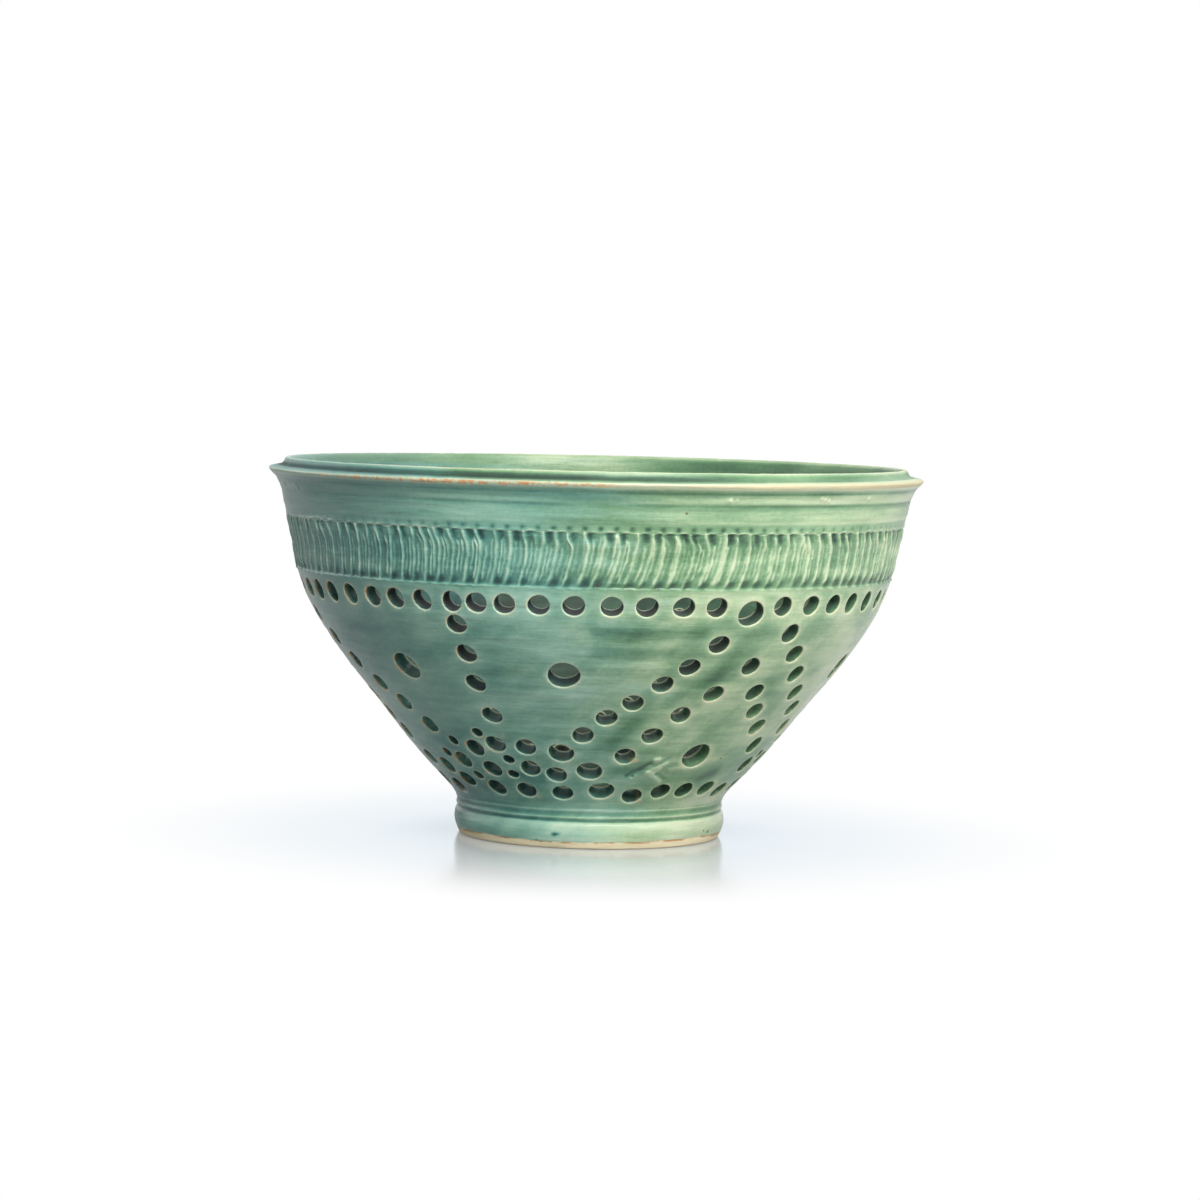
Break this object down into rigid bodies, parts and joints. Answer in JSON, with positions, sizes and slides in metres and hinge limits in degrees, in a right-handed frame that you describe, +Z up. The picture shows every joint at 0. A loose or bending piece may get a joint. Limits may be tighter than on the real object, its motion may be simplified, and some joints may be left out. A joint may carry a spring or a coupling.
{
  "type": "berry bowl",
  "caption": "Thrown stoneware bowl on a foot ring, with a double-edged rim, a combed band and a pierced wall and floor for rinsing and draining berries.",
  "frame": {"origin": "centre of the foot ring's bottom, on the surface that the bowl stands on", "axes": "+Z up along the bowl's axis; -Y towards the viewer of the picture; +X to the viewer's right"},
  "size_m": [0.178, 0.178, 0.1016],
  "materials": {
    "fired_clay": "bare fired stoneware, fine sandy matt",
    "green_glaze": "glossy green ash glaze over turned clay",
    "pale_liner_glaze": "glossy paler green glaze, poured"
  },
  "bodies": {
    "root": {"thrown_bowl": "fired_clay", "foot_ring": "fired_clay", "outer_glaze": "green_glaze", "liner_glaze": "pale_liner_glaze"}
  },
  "joints": []
}
